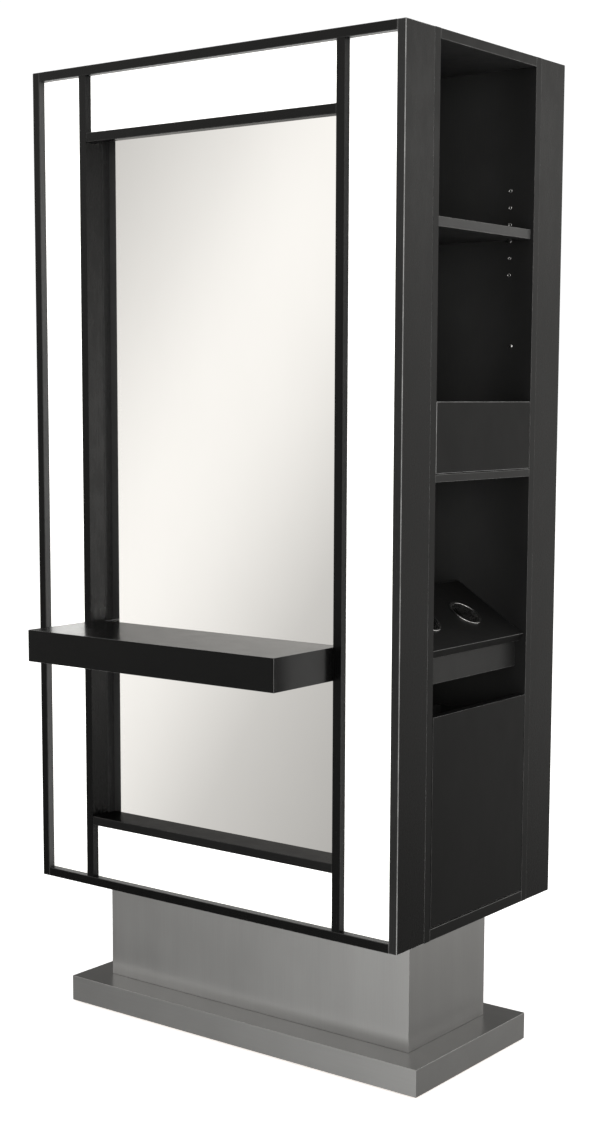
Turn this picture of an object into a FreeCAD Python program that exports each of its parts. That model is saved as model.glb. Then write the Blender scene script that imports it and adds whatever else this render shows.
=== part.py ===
import FreeCAD, Part
import Sketcher
import os
import re

# Double-sided salon styling station, in millimetres.
# +X is to the right and +Y away from someone facing the front mirror, +Z is up.
# The origin is on the floor under the middle of the base.

DIMENSIONS = {
    # whole body
    "body_width": 900,
    "body_height": 1643,
    "board": 18,
    "bottom_board": 22,
    "module_depth": 91,
    "niche_width": 334,
    # base and pedestal
    "glide_height": 3,
    "glide_radius": 25,
    "glide_reach_x": 400,
    "glide_reach_y": 160,
    "base_length": 889,
    "base_depth": 397,
    "base_height": 54,
    "steel_skin": 1.5,
    "pedestal_length": 770,
    "pedestal_depth": 272,
    "pedestal_height": 240,
    # cable gland in the left end of the pedestal
    "gland_height": 45,
    "gland_bore": 9,
    "gland_thread": 20,
    "gland_hole": 20.4,
    "gland_collar": 28,
    "gland_dome": 22,
    "gland_dome_length": 14,
    "gland_collar_length": 8,
    "gland_thread_length": 30,
    "gland_nut_length": 6,
    # mirror and light panels
    "light_width": 110,
    "light_recess": 15,
    "light_sheet": 3,
    "mirror_sheet": 8,
    "trim_width": 18,
    "top_rail_depth": 24,
    "tray_sheet": 3,
    "strip_width": 12,
    "strip_sheet": 1.6,
    "strip_end_gap": 24,
    # console
    "console_reach": 175,
    "console_top": 550,
    "console_height": 62,
    "cable_slot": 42,
    "bolt_shank": 8,
    "bolt_hole": 8.4,
    "bolt_head": 13,
    "bolt_head_height": 5,
    "bolt_nut_height": 7,
    "bolt_inset": 28,
    "bolt_pitch": 26,
    # niche
    "niche_depth": 350,
    "shelf_setback": 6,
    "fixed_shelf_base": 850,
    "fixed_shelf_board": 14,
    "loose_shelf_base": 1304,
    "loose_shelf_length": 340,
    "loose_shelf_gap": 1,
    "pin_diameter": 5,
    "pin_length": 18,
    "pin_hole_depth": 10,
    "pin_pitch": 32,
    "pin_rows": 6,
    "pin_rows_below": 2,
    "pin_front_inset": 53,
    "pin_back_inset": 300,
    # tilted tool tray
    "tray_tilt": 32,
    "tray_edge": 541.5,
    "tray_length": 180,
    "ring_up_slope": 84,
    "ring_pitch": 143,
    "ring_offset": 8,
    "ring_flange": 70,
    "ring_flange_sheet": 2,
    "ring_outside": 64,
    "ring_hole": 64.6,
    "ring_inside": 60,
    "ring_length": 40,
    "apron_setback": 25,
    "apron_base": 475,
    # drawer
    "front_gap": 1.5,
    "drawer_top": 994.5,
    "drawer_length": 300,
    "drawer_width": 304,
    "drawer_height": 90,
    "drawer_lift": 10,
    "drawer_wall": 12,
    "runner_length": 296,
    "runner_height": 45,
    "runner_sheet": 12.5,
    # tilting bin
    "bin_front_base": 24.5,
    "bin_front_top": 420,
    "bin_side_gap": 2.5,
    "pivot_rise": 20,
    "pivot_diameter": 6,
    "pivot_bore": 6.1,
    "pivot_length": 22,
    "pivot_bore_depth": 12,
    "bin_length": 170,
    "bin_width": 300,
    "bin_base": 44,
    "bin_height": 340,
    "bin_wall": 6,
    # light switch, on the niche side of the front carcass wall
    "switch_height": 760,
    "switch_inset": 55,
    "housing_width": 30,
    "housing_depth": 14,
    "housing_height": 50,
    "pocket_width": 22,
    "pocket_depth": 10,
    "pocket_height": 38,
    "rocker_width": 21,
    "rocker_height": 36,
    "rocker_tilt": 8,
    "rocker_axis_depth": 10,
    "axle_diameter": 3,
    "axle_length": 24,
    "axle_bore": 3.1,
    "axle_bore_length": 26,
    # socket block and light driver
    "socket_base": 700,
    "socket_block_depth": 36,
    "socket_block_width": 150,
    "socket_block_height": 76,
    "socket_bore": 39,
    "socket_bore_depth": 17.5,
    "socket_pitch": 72,
    "driver_length": 180,
    "driver_width": 60,
    "driver_height": 40,
    "driver_x": -360,
    "duct_hole": 40,
    "duct_hole_x": -100,
}

# Sizes worked out from the driving dimensions.
DERIVED = {
    "body_depth": "2 * module_depth + 2 * board + niche_width",
    "front_face": "-body_depth / 2",
    "left_face": "-body_width / 2",
    "right_face": "body_width / 2",
    "floor_plate": "glide_height + base_height",
    "body_bottom": "floor_plate + pedestal_height",
    "body_top": "body_bottom + body_height",
    "inner_height": "body_height - 2 * board",
    "mirror_opening": "body_width - 4 * board - 2 * light_width",
    "panel_face": "module_depth - board",
    "mirror_face": "panel_face - mirror_sheet",
    "light_band": "2 * board + light_width",
    "wall_inner": "niche_width / 2",
    "niche_back_x": "right_face - niche_depth",
    "carcass_height": "body_height - board - bottom_board",
    "column_length": "pedestal_length - 2 * steel_skin",
    "column_depth": "pedestal_depth - 2 * steel_skin",
    "pin_height": "body_bottom + loose_shelf_base - pin_diameter / 2",
    "pivot_x": "right_face - board / 2",
    "pivot_z": "body_bottom + bin_front_base + pivot_rise",
    "tray_x": "right_face - shelf_setback",
    "tray_z": "body_bottom + tray_edge",
    "apron_x": "right_face - apron_setback",
    "drawer_floor": "fixed_shelf_base + fixed_shelf_board",
}

doc = FreeCAD.newDocument("StylingStation")
sheet = doc.addObject("Spreadsheet::Sheet", "Dimensions")
nodes = []


def fill_sheet():
    for row, (alias, value) in enumerate(DIMENSIONS.items(), start=1):
        sheet.set("A%d" % row, alias)
        sheet.set("B%d" % row, str(value))
        sheet.setAlias("B%d" % row, alias)
    doc.recompute()


def formula(text):
    """Turn plain dimension names into references to the sheet."""
    def reference(match):
        name = match.group(0)
        if name in DERIVED:
            return "(" + formula(DERIVED[name]) + ")"
        if name in DIMENSIONS:
            return "Dimensions." + name
        return name
    return re.sub(r"[a-z_]+", reference, text)


def bind(thing, **sizes):
    for path, text in sizes.items():
        thing.setExpression(path.replace("__", "."), formula(text))


def place(thing, x, y, z, turned=False):
    """Put a piece at a point, or at that point turned half round the vertical axis."""
    sign = ""
    if turned:
        thing.Placement = FreeCAD.Placement(FreeCAD.Vector(), FreeCAD.Rotation(180, 0, 0))
        sign = "-"
    bind(thing, Placement__Base__x="%s(%s)" % (sign, x),
         Placement__Base__y="%s(%s)" % (sign, y), Placement__Base__z=z)
    return thing


def node(thing, label):
    thing.Label = label
    nodes.append(thing)
    return thing


def box(name, size, corner, turned=False):
    piece = doc.addObject("Part::Box", name)
    bind(piece, Length=size[0], Width=size[1], Height=size[2])
    return place(piece, *corner, turned=turned)


def rod(name, diameter, length, start, axis):
    """Round bar from a start point along an axis."""
    piece = doc.addObject("Part::Cylinder", name)
    turn = FreeCAD.Rotation(FreeCAD.Vector(0, 0, 1), FreeCAD.Vector(*axis))
    piece.Placement = FreeCAD.Placement(FreeCAD.Vector(), turn)
    bind(piece, Radius="(%s) / 2" % diameter, Height=length)
    return place(piece, *start)


def board(label, size, corner, turned=False):
    return node(box(label, size, corner, turned), label)


def group(label, pieces, turned=False):
    """Several separate solids that share one node."""
    holder = doc.addObject("Part::Compound", label)
    holder.Links = pieces
    if turned:
        holder.Placement = FreeCAD.Placement(FreeCAD.Vector(), FreeCAD.Rotation(180, 0, 0))
    return node(holder, label)


def drill(name, blank, tools):
    """Cut round holes out of a board."""
    cutter = doc.addObject("Part::Compound", name + "_drills")
    cutter.Links = tools
    cut = doc.addObject("Part::Cut", name)
    cut.Base = blank
    cut.Tool = cutter
    return cut


def make_body(label):
    return node(doc.addObject("PartDesign::Body", label), label)


def add_sketch(body, name, plane):
    sketch = body.newObject("Sketcher::SketchObject", name)
    for feature in body.Origin.OriginFeatures:
        if feature.Role == plane:
            sketch.AttachmentSupport = [(feature, "")]
    sketch.MapMode = "FlatFace"
    return sketch


def outline(sketch, points):
    """Closed outline; each corner's two coordinates are tied to the sheet."""
    doc.recompute()
    first = sketch.GeometryCount
    count = len(points)
    # A rough start in the right quadrant lets the solver settle on the bound sizes.
    rough = [FreeCAD.Vector(value_of(x), value_of(y), 0) for x, y in points]
    for index in range(count):
        sketch.addGeometry(Part.LineSegment(rough[index], rough[(index + 1) % count]), False)
    for index in range(count):
        edge = first + index
        following = first + (index + 1) % count
        sketch.addConstraint(Sketcher.Constraint("Coincident", edge, 2, following, 1))
    for index, (x, y) in enumerate(points):
        tie(sketch, "DistanceX", first + index, 1, x)
        tie(sketch, "DistanceY", first + index, 1, y)


def circle(sketch, x, y, diameter):
    doc.recompute()
    centre = FreeCAD.Vector(value_of(x), value_of(y), 0)
    radius = value_of(diameter) / 2
    index = sketch.addGeometry(
        Part.Circle(centre, FreeCAD.Vector(0, 0, 1), radius), False)
    tie(sketch, "DistanceX", index, 3, x)
    tie(sketch, "DistanceY", index, 3, y)
    rim = sketch.addConstraint(Sketcher.Constraint("Diameter", index, radius * 2))
    sketch.setExpression("Constraints[%d]" % rim, formula(diameter))


def tie(sketch, kind, geometry, point, text):
    """Hold one coordinate of a point at a distance from the sketch origin."""
    value = value_of(text)
    on_axis = abs(value) < 1e-9
    if on_axis:
        rest = (geometry, point, -2 if kind == "DistanceX" else -1)
        sketch.addConstraint(Sketcher.Constraint("PointOnObject", *rest))
        return
    index = sketch.addConstraint(Sketcher.Constraint(kind, -1, 1, geometry, point, value))
    sketch.setExpression("Constraints[%d]" % index, formula(text))


def value_of(text):
    """The number that a formula comes to with the sheet's present values."""
    result = sheet.evalExpression(formula(text).replace("Dimensions.", ""))
    return float(getattr(result, "Value", result))


def rectangle(sketch, width, height, x="0", y="0"):
    far_x = "%s + %s" % (x, width)
    far_y = "%s + %s" % (y, height)
    outline(sketch, [(x, y), (far_x, y), (far_x, far_y), (x, far_y)])


def pad(body, name, sketch, length, midplane=False, reverse=False):
    feature = body.newObject("PartDesign::Pad", name)
    feature.Profile = sketch
    feature.Midplane = midplane
    feature.Reversed = reverse
    bind(feature, Length=length)
    doc.recompute()
    return feature


def pocket(body, name, sketch, depth, reverse=False):
    """Cut a pocket and make sure that it took material away."""
    before = body.Shape.Volume
    feature = body.newObject("PartDesign::Pocket", name)
    feature.Profile = sketch
    feature.Reversed = reverse
    bind(feature, Length=depth)
    doc.recompute()
    if body.Shape.Volume >= before:
        raise RuntimeError(name + " removed nothing")
    return feature


def revolve(body, name, sketch, axis):
    feature = body.newObject("PartDesign::Revolution", name)
    feature.Profile = sketch
    feature.ReferenceAxis = (sketch, [axis])
    feature.Angle = 360
    doc.recompute()
    return feature


def lift(sketch, height):
    bind(sketch, AttachmentOffset__Base__z=height)


# ---------------------------------------------------------------- base and pedestal

def build_base():
    glides = []
    for column in (-1, 0, 1):
        for side in (-1, 1):
            glides.append(rod(
                "glide", "2 * glide_radius", "glide_height",
                ("%d * glide_reach_x" % column, "%d * glide_reach_y" % side, "0"), (0, 0, 1)))
    group("base_glides", glides)

    board("base_core",
          ("base_length - 2 * steel_skin", "base_depth - 2 * steel_skin",
           "base_height - steel_skin"),
          ("-base_length / 2 + steel_skin", "-base_depth / 2 + steel_skin", "glide_height"))

    cover = make_body("base_cover")
    plan = add_sketch(cover, "cover_plan", "XY_Plane")
    rectangle(plan, "base_length", "base_depth")
    pad(cover, "cover_block", plan, "base_height")
    hollow = add_sketch(cover, "cover_hollow", "XY_Plane")
    rectangle(hollow, "base_length - 2 * steel_skin", "base_depth - 2 * steel_skin",
              "steel_skin", "steel_skin")
    pocket(cover, "cover_inside", hollow, "base_height - steel_skin", reverse=True)
    place(cover, "-base_length / 2", "-base_depth / 2", "glide_height")


def build_tube(label, length, depth, wall):
    """Upright rectangular tube on the base, pierced in its left end for the cable gland."""
    tube = make_body(label)
    plan = add_sketch(tube, label + "_plan", "XY_Plane")
    rectangle(plan, length, depth)
    rectangle(plan, "%s - 2 * %s" % (length, wall), "%s - 2 * %s" % (depth, wall), wall, wall)
    pad(tube, label + "_walls", plan, "pedestal_height")
    entry = add_sketch(tube, label + "_entry", "YZ_Plane")
    circle(entry, "%s / 2" % depth, "gland_height", "gland_hole")
    pocket(tube, label + "_gland_hole", entry, wall, reverse=True)
    place(tube, "-%s / 2" % length, "-%s / 2" % depth, "floor_plate")


def build_cable_gland():
    """Dome, collar, thread and nut turned about the cable's axis, which lies along X."""
    gland = make_body("cable_gland")
    profile = add_sketch(gland, "gland_profile", "XZ_Plane")
    collar_end = "gland_dome_length + gland_collar_length"
    wall_end = collar_end + " + steel_skin + board"
    nut_end = wall_end + " + gland_nut_length"
    thread_end = collar_end + " + gland_thread_length"
    outline(profile, [
        ("0", "gland_bore / 2"),
        ("0", "gland_dome / 2 - 3"),
        ("3", "gland_dome / 2"),
        ("gland_dome_length", "gland_dome / 2"),
        ("gland_dome_length", "gland_collar / 2"),
        (collar_end, "gland_collar / 2"),
        (collar_end, "gland_thread / 2"),
        (wall_end, "gland_thread / 2"),
        (wall_end, "gland_collar / 2"),
        (nut_end, "gland_collar / 2"),
        (nut_end, "gland_thread / 2"),
        (thread_end, "gland_thread / 2"),
        (thread_end, "gland_bore / 2"),
    ])
    revolve(gland, "gland_turned", profile, "H_Axis")
    place(gland, "-pedestal_length / 2 - gland_dome_length - gland_collar_length", "0",
          "floor_plate + gland_height")


# ---------------------------------------------------------------- mirror modules

def build_frame_boards(side, turned):
    corner_z = "body_bottom + board"
    board(side + "_stile_left", ("board", "module_depth", "body_height"),
          ("left_face", "front_face", "body_bottom"), turned)
    board(side + "_stile_right", ("board", "module_depth", "body_height"),
          ("right_face - board", "front_face", "body_bottom"), turned)
    for name, height in (("_bottom_rail", "body_bottom"), ("_top_rail", "body_top - board")):
        board(side + name, ("body_width - 2 * board", "module_depth", "board"),
              ("left_face + board", "front_face", height), turned)
    board(side + "_back_panel", ("body_width - 2 * board", "board", "inner_height"),
          ("left_face + board", "front_face + panel_face", corner_z), turned)
    board(side + "_inner_rail_bottom", ("mirror_opening", "panel_face", "board"),
          ("-mirror_opening / 2", "front_face", "body_bottom + board + light_width"), turned)


def build_mullions(side, turned):
    """Uprights between the mirror and the side lights, drilled for the console bolts."""
    uprights = []
    for name, x in (("left", "-mirror_opening / 2 - board"), ("right", "mirror_opening / 2")):
        blank = box(side + "_mullion_blank_" + name, ("board", "panel_face", "inner_height"),
                    (x, "front_face", "body_bottom + board"))
        drills = []
        for index in (0, 1):
            drills.append(rod("bolt_drill", "bolt_hole", "board", (
                x, bolt_y(index), "body_bottom + console_top - console_height / 2"), (1, 0, 0)))
        uprights.append(drill(side + "_mullion_" + name, blank, drills))
    group(side + "_mullions", uprights, turned)


def bolt_y(index):
    return "front_face + bolt_inset + %d * bolt_pitch" % index


def build_inner_rail_top(side, turned):
    """L-section: a lip under the top light and a thin plate behind it."""
    rail = make_body(side + "_inner_rail_top")
    profile = add_sketch(rail, side + "_rail_profile", "YZ_Plane")
    plate_face = "top_rail_depth - tray_sheet"
    plate_top = "board + light_width"
    outline(profile, [
        ("0", "0"),
        ("top_rail_depth", "0"),
        ("top_rail_depth", plate_top),
        (plate_face, plate_top),
        (plate_face, "board"),
        ("0", "board"),
    ])
    pad(rail, side + "_rail_length", profile, "mirror_opening")
    place(rail, "-mirror_opening / 2", "front_face", "body_top - light_band", turned)


def build_glazing(side, turned):
    mirror_width = "mirror_opening - 2 * trim_width"
    mirror_height = "body_height - board - light_band"
    mirror_z = "body_bottom + light_band"
    board(side + "_mirror", (mirror_width, "mirror_sheet", mirror_height),
          ("-mirror_opening / 2 + trim_width", "front_face + mirror_face", mirror_z), turned)
    trims = []
    for x in ("-mirror_opening / 2", "mirror_opening / 2 - trim_width"):
        trims.append(box(side + "_trim", ("trim_width", "mirror_sheet", mirror_height),
                         (x, "front_face + mirror_face", mirror_z)))
    group(side + "_mirror_trims", trims, turned)

    side_lights = []
    for x in ("left_face + board", "right_face - board - light_width"):
        side_lights.append(box(
            side + "_side_light", ("light_width", "light_sheet", "inner_height"),
            (x, "front_face + light_recess", "body_bottom + board")))
    group(side + "_side_lights", side_lights, turned)

    cross_lights = []
    for z in ("body_bottom + board", "body_top - board - light_width"):
        cross_lights.append(box(
            side + "_cross_light", ("mirror_opening", "light_sheet", "light_width"),
            ("-mirror_opening / 2", "front_face + light_recess", z)))
    group(side + "_cross_lights", cross_lights, turned)


def build_led_strips(side, turned):
    """One strip along the middle of each light panel, stuck to the board behind it."""
    strips = []
    middle = "board + light_width / 2 - strip_width / 2"
    deep = "front_face + panel_face - strip_sheet"
    shallow = "front_face + top_rail_depth - tray_sheet - strip_sheet"
    for x in ("left_face + " + middle, "right_face - (%s) - strip_width" % middle):
        strips.append(box(side + "_strip",
                          ("strip_width", "strip_sheet", "inner_height - 2 * strip_end_gap"),
                          (x, deep, "body_bottom + board + strip_end_gap")))
    for depth, z in ((deep, "body_bottom + " + middle),
                     (shallow, "body_top - board - light_width / 2 - strip_width / 2")):
        strips.append(box(side + "_strip",
                          ("mirror_opening - 2 * strip_end_gap", "strip_sheet", "strip_width"),
                          ("-mirror_opening / 2 + strip_end_gap", depth, z)))
    group(side + "_led_strips", strips, turned)


def build_console(side, turned):
    """Mitred shell, open behind and below, with a panel set into its underside.

    The top board stops short of the mirror, which leaves a slot for leads between the ends.
    """
    shell = make_body(side + "_console_shell")
    depth = "console_reach + mirror_face"
    plan = add_sketch(shell, side + "_console_plan", "XY_Plane")
    rectangle(plan, "mirror_opening", depth)
    pad(shell, side + "_console_block", plan, "console_height")
    hollow = add_sketch(shell, side + "_console_hollow", "XY_Plane")
    rectangle(hollow, "mirror_opening - 2 * board", depth + " - board", "board", "board")
    pocket(shell, side + "_console_inside", hollow, "console_height - board", reverse=True)
    slot = add_sketch(shell, side + "_console_slot_plan", "XY_Plane")
    rectangle(slot, "mirror_opening - 2 * board", "cable_slot", "board", depth + " - cable_slot")
    pocket(shell, side + "_console_slot", slot, "console_height", reverse=True)
    holes = add_sketch(shell, side + "_console_bolt_plan", "YZ_Plane")
    for index in (0, 1):
        circle(holes, "console_reach + bolt_inset + %d * bolt_pitch" % index,
               "console_height / 2", "bolt_hole")
    pocket(shell, side + "_console_bolt_holes", holes, "mirror_opening", reverse=True)
    base_z = "body_bottom + console_top - console_height"
    place(shell, "-mirror_opening / 2", "front_face - console_reach", base_z, turned)
    board(side + "_console_bottom",
          ("mirror_opening - 2 * board", depth + " - board", "board"),
          ("-mirror_opening / 2 + board", "front_face - console_reach + board", base_z), turned)


def console_bolt(index, end, facing):
    """Bolt from the light cavity through the mullion and the console's end wall."""
    z = "body_bottom + console_top - console_height / 2"
    y = "%d * (%s)" % (facing, bolt_y(index))
    outer = "%d * (mirror_opening / 2 + board)" % end
    inner = "%d * (mirror_opening / 2 - board)" % end
    tip = "%d * (mirror_opening / 2 - board - bolt_nut_height - 3)" % end
    pieces = [
        rod("bolt_head", "bolt_head", "bolt_head_height", (outer, y, z), (end, 0, 0)),
        rod("bolt_shank", "bolt_shank", "2 * board + bolt_nut_height + 3", (tip, y, z),
            (end, 0, 0)),
        rod("bolt_nut", "bolt_head", "bolt_nut_height", (inner, y, z), (-end, 0, 0)),
    ]
    bolt = doc.addObject("Part::MultiFuse", "console_bolt")
    bolt.Shapes = pieces
    return bolt


def build_console_bolts():
    bolts = []
    for facing in (1, -1):
        for end in (-1, 1):
            for index in (0, 1):
                bolts.append(console_bolt(index, end, facing))
    group("console_bolts", bolts)


def build_mirror_module(side, turned):
    build_frame_boards(side, turned)
    build_mullions(side, turned)
    build_inner_rail_top(side, turned)
    build_glazing(side, turned)
    build_led_strips(side, turned)
    build_console(side, turned)


# ---------------------------------------------------------------- carcass

def build_carcass_wall(label, y, drilled_face):
    """Full-width wall, drilled on its niche side for shelf pins and the bin's pivot pin."""
    wall = make_body(label)
    face = add_sketch(wall, label + "_face", "XZ_Plane")
    rectangle(face, "body_width", "body_height")
    pad(wall, label + "_plate", face, "board", reverse=True)
    from_far_side = drilled_face == "board"
    lowest = "loose_shelf_base - pin_diameter / 2 - pin_rows_below * pin_pitch"
    pins = add_sketch(wall, label + "_pin_plan", "XZ_Plane")
    lift(pins, "-" + drilled_face)
    for inset in ("pin_front_inset", "pin_back_inset"):
        circle(pins, "body_width - " + inset, lowest, "pin_diameter")
    holes = pocket(wall, label + "_pin_holes", pins, "pin_hole_depth",
                   reverse=from_far_side)
    rows = wall.newObject("PartDesign::LinearPattern", label + "_pin_rows")
    rows.Originals = [holes]
    rows.Direction = (pins, ["V_Axis"])
    rows.Occurrences = DIMENSIONS["pin_rows"]
    bind(rows, Length="pin_pitch * (pin_rows - 1)", Occurrences="pin_rows")
    wall.Tip = rows
    doc.recompute()
    pivot = add_sketch(wall, label + "_pivot_plan", "XZ_Plane")
    lift(pivot, "-" + drilled_face)
    circle(pivot, "body_width - board / 2", "bin_front_base + pivot_rise", "pivot_diameter")
    pocket(wall, label + "_pivot_hole", pivot, "pin_hole_depth", reverse=from_far_side)
    place(wall, "left_face", y, "body_bottom")


def build_carcass():
    build_carcass_wall("carcass_front_wall", "-wall_inner - board", "board")
    build_carcass_wall("carcass_rear_wall", "wall_inner", "0")
    board("carcass_top", ("body_width", "niche_width", "board"),
          ("left_face", "-wall_inner", "body_top - board"))
    floor = box("carcass_floor_blank", ("body_width", "niche_width", "bottom_board"),
                ("left_face", "-wall_inner", "body_bottom"))
    duct = rod("duct_drill", "duct_hole", "bottom_board",
               ("duct_hole_x", "0", "body_bottom"), (0, 0, 1))
    node(drill("carcass_bottom", floor, [duct]), "carcass_bottom")
    upright = ("board", "niche_width", "carcass_height")
    board("niche_back", upright, ("niche_back_x - board", "-wall_inner",
                                  "body_bottom + bottom_board"))
    board("service_panel", upright, ("left_face", "-wall_inner", "body_bottom + bottom_board"))
    board("led_driver", ("driver_length", "driver_width", "driver_height"),
          ("driver_x", "-driver_width / 2", "body_bottom + bottom_board"))


# ---------------------------------------------------------------- niche

def build_shelves():
    board("fixed_shelf", ("niche_depth", "niche_width", "fixed_shelf_board"),
          ("niche_back_x", "-wall_inner", "body_bottom + fixed_shelf_base"))
    board("adjustable_shelf",
          ("loose_shelf_length", "niche_width - 2 * loose_shelf_gap", "board"),
          ("right_face - shelf_setback - loose_shelf_length", "-wall_inner + loose_shelf_gap",
           "body_bottom + loose_shelf_base"))
    pins = []
    for side in (-1, 1):
        for inset in ("pin_front_inset", "pin_back_inset"):
            start = "%d * (wall_inner + pin_hole_depth)" % side
            pins.append(rod("shelf_pin", "pin_diameter", "pin_length",
                            ("right_face - " + inset, start, "pin_height"), (0, -side, 0)))
    group("shelf_pins", pins)


def ring_y(index):
    return "niche_width / 2 - ring_offset + %d * ring_pitch / 2" % (1 if index else -1)


def tilt_to_slope(thing):
    """Lean a piece back so that its local X climbs the tray from the front edge."""
    lean = FreeCAD.Rotation(FreeCAD.Vector(0, 1, 0), 180 + DIMENSIONS["tray_tilt"])
    thing.Placement = FreeCAD.Placement(FreeCAD.Vector(), lean)


def build_tool_tray():
    """Board that climbs from its front edge into the niche, with two round openings."""
    tray = make_body("tool_tray")
    plan = add_sketch(tray, "tray_plan", "XY_Plane")
    rectangle(plan, "tray_length", "niche_width")
    for index in (0, 1):
        circle(plan, "ring_up_slope", ring_y(index), "ring_hole")
    pad(tray, "tray_board", plan, "board")
    tilt_to_slope(tray)
    place(tray, "tray_x", "-wall_inner", "tray_z")


def build_tool_rings():
    """Flanged sleeves that line the tray's openings."""
    rings = []
    for index in (0, 1):
        flange = rod("ring_flange", "ring_flange", "ring_flange_sheet", ("0", "0", "0"),
                     (0, 0, 1))
        sleeve = rod("ring_sleeve", "ring_outside", "ring_length", ("0", "0", "0"), (0, 0, 1))
        place(flange, "ring_up_slope", ring_y(index), "-ring_flange_sheet")
        place(sleeve, "ring_up_slope", ring_y(index), "-ring_flange_sheet")
        bore = rod("ring_bore", "ring_inside", "ring_length", ("0", "0", "0"), (0, 0, 1))
        place(bore, "ring_up_slope", ring_y(index), "-ring_flange_sheet")
        solid = doc.addObject("Part::MultiFuse", "ring_solid")
        solid.Shapes = [flange, sleeve]
        ring = doc.addObject("Part::Cut", "ring")
        ring.Base = solid
        ring.Tool = bore
        rings.append(ring)
    holder = group("tool_rings", rings)
    tilt_to_slope(holder)
    place(holder, "tray_x", "-wall_inner", "tray_z")


def build_tray_apron():
    """Upright board under the tray, bevelled on top to meet the tray's underside."""
    apron = make_body("tray_apron")
    profile = add_sketch(apron, "apron_profile", "XZ_Plane")
    underside = "tray_edge - board / cos(tray_tilt) - apron_base"
    front_top = underside + " + (apron_setback - shelf_setback) * tan(tray_tilt)"
    back_top = front_top + " + board * tan(tray_tilt)"
    outline(profile, [
        ("0", "0"),
        ("board", "0"),
        ("board", front_top),
        ("0", back_top),
    ])
    pad(apron, "apron_board", profile, "niche_width", reverse=True)
    place(apron, "apron_x - board", "-wall_inner", "body_bottom + apron_base")


def build_open_box(label, length, width, height, wall):
    """Box with four walls and a bottom, open on top."""
    tub = make_body(label)
    plan = add_sketch(tub, label + "_plan", "XY_Plane")
    rectangle(plan, length, width)
    pad(tub, label + "_block", plan, height)
    hollow = add_sketch(tub, label + "_hollow", "XY_Plane")
    lift(hollow, height)
    rectangle(hollow, "%s - 2 * %s" % (length, wall), "%s - 2 * %s" % (width, wall), wall, wall)
    pocket(tub, label + "_inside", hollow, "%s - %s" % (height, wall))
    return tub


def build_drawer():
    front_base = "drawer_floor + front_gap"
    board("drawer_front",
          ("board", "niche_width - 2 * front_gap", "drawer_top - (%s)" % front_base),
          ("right_face - board", "-wall_inner + front_gap", "body_bottom + " + front_base))
    tub = build_open_box("drawer_box", "drawer_length", "drawer_width", "drawer_height",
                         "drawer_wall")
    place(tub, "right_face - board - drawer_length", "-drawer_width / 2",
          "body_bottom + drawer_floor + drawer_lift")
    runners = []
    for y in ("-wall_inner", "wall_inner - runner_sheet"):
        runners.append(box("runner", ("runner_length", "runner_sheet", "runner_height"), (
            "right_face - board - 4 - runner_length", y,
            "body_bottom + drawer_floor + drawer_lift + runner_height / 2")))
    group("drawer_runners", runners)


def build_bin():
    front = make_body("bin_front")
    face = add_sketch(front, "bin_face", "XZ_Plane")
    width = "niche_width - 2 * bin_side_gap"
    rectangle(face, "board", "bin_front_top - bin_front_base")
    pad(front, "bin_panel", face, width, reverse=True)
    for name, offset, reverse in (("near", "0", False), ("far", width, True)):
        bore = add_sketch(front, "bin_bore_" + name, "XZ_Plane")
        lift(bore, "-(%s)" % offset)
        circle(bore, "board / 2", "pivot_rise", "pivot_bore")
        pocket(front, "bin_pivot_bore_" + name, bore, "pivot_bore_depth", reverse=reverse)
    place(front, "right_face - board", "-wall_inner + bin_side_gap",
          "body_bottom + bin_front_base")
    tub = build_open_box("bin_box", "bin_length", "bin_width", "bin_height", "bin_wall")
    place(tub, "right_face - board - bin_length", "-bin_width / 2", "body_bottom + bin_base")
    pivots = []
    for side in (-1, 1):
        start = "%d * (wall_inner + pin_hole_depth)" % side
        pivots.append(rod("bin_pivot", "pivot_diameter", "pivot_length",
                          ("pivot_x", start, "pivot_z"), (0, -side, 0)))
    group("bin_pivots", pivots)


# ---------------------------------------------------------------- switch and sockets

def build_light_switch():
    """Rocker in a shallow housing on the niche side of the front wall."""
    housing = make_body("switch_housing")
    face = add_sketch(housing, "housing_face", "XZ_Plane")
    rectangle(face, "housing_width", "housing_height")
    pad(housing, "housing_block", face, "housing_depth", reverse=True)
    well = add_sketch(housing, "housing_well", "XZ_Plane")
    lift(well, "-housing_depth")
    rectangle(well, "pocket_width", "pocket_height", "(housing_width - pocket_width) / 2",
              "(housing_height - pocket_height) / 2")
    pocket(housing, "housing_pocket", well, "pocket_depth", reverse=True)
    bearing = add_sketch(housing, "housing_bearing", "YZ_Plane")
    lift(bearing, "(housing_width - axle_bore_length) / 2")
    circle(bearing, "rocker_axis_depth", "housing_height / 2", "axle_bore")
    pocket(housing, "housing_axle_bore", bearing, "axle_bore_length", reverse=True)
    place(housing, "right_face - switch_inset - housing_width / 2", "-wall_inner",
          "body_bottom + switch_height - housing_height / 2")

    rocker = make_body("switch_rocker")
    profile = add_sketch(rocker, "rocker_profile", "YZ_Plane")
    half = "rocker_height / 2"
    rise = "3 + rocker_height / 2 * tan(rocker_tilt)"
    outline(profile, [
        ("-1", "-" + half),
        (rise, "-" + half),
        ("3", "0"),
        (rise, half),
        ("-1", half),
    ])
    pad(rocker, "rocker_bar", profile, "rocker_width", midplane=True)
    axle = add_sketch(rocker, "rocker_axle_section", "YZ_Plane")
    circle(axle, "0", "0", "axle_diameter")
    pad(rocker, "rocker_axle", axle, "axle_length", midplane=True)
    rocker.Placement = FreeCAD.Placement(
        FreeCAD.Vector(), FreeCAD.Rotation(FreeCAD.Vector(1, 0, 0), DIMENSIONS["rocker_tilt"]))
    place(rocker, "right_face - switch_inset", "-wall_inner + rocker_axis_depth",
          "body_bottom + switch_height")


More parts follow.
